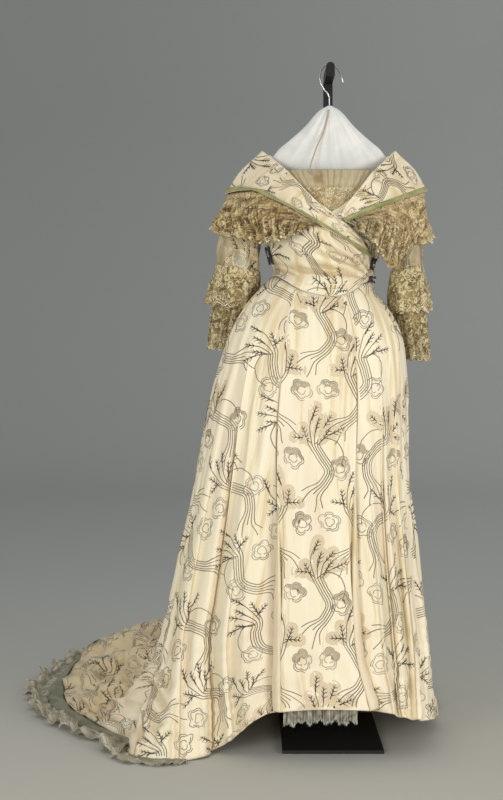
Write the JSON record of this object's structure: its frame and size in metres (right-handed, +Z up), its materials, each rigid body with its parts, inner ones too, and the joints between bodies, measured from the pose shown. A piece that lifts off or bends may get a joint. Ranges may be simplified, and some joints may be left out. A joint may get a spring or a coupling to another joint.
{
  "type": "evening dress on a hanger stand",
  "caption": "Cream figured-silk evening dress with lace bertha, elbow sleeves and a swept train, hung on a white padded hanger from a black post stand.",
  "frame": {"origin": "centre of the underside of the base plate, on the floor", "axes": "+Z up, the front of the dress faces -Y, +X is the wearer's left"},
  "size_m": [1.0971, 1.3195, 1.61],
  "materials": {
    "cream_silk": "satin",
    "green_satin": "satin",
    "gold_lace": "matte",
    "beige_net": "matte",
    "grey_ruffle": "matte",
    "white_ruffle": "matte",
    "white_cotton": "matte",
    "black_velvet": "matte",
    "beige_tape": "matte",
    "black_stand": "satin",
    "bright_wire": "satin"
  },
  "bodies": {
    "root": {"bertha_lace_left": "gold_lace", "bertha_lace_right": "gold_lace", "bodice_back_left": "cream_silk", "bodice_back_right": "cream_silk", "bodice_front_left": "cream_silk", "bodice_front_right": "cream_silk", "collar_back": "cream_silk", "collar_left": "cream_silk", "collar_right": "cream_silk", "front_ruffle": "white_ruffle", "green_band_back": "green_satin", "green_band_left": "green_satin", "green_band_right": "green_satin", "hanger_hook": "bright_wire", "hanger_pad": "white_cotton", "hanging_tape": "beige_tape", "lace_insert": "beige_net", "skirt_back_left": "cream_silk", "skirt_back_right": "cream_silk", "skirt_front": "cream_silk", "skirt_front_side_left": "cream_silk", "skirt_front_side_right": "cream_silk", "skirt_side_left": "cream_silk", "skirt_side_right": "cream_silk", "sleeve_lace_lower_left": "gold_lace", "sleeve_lace_lower_right": "gold_lace", "sleeve_lace_upper_left": "gold_lace", "sleeve_lace_upper_right": "gold_lace", "sleeve_left": "cream_silk", "sleeve_right": "cream_silk", "stand_plate": "black_stand", "stand_post": "black_stand", "train_facing": "green_satin", "train_ruffle": "grey_ruffle", "underarm_trim": "black_velvet", "waist_ornament_lower": "black_velvet", "waist_ornament_upper": "black_velvet"}
  },
  "joints": []
}
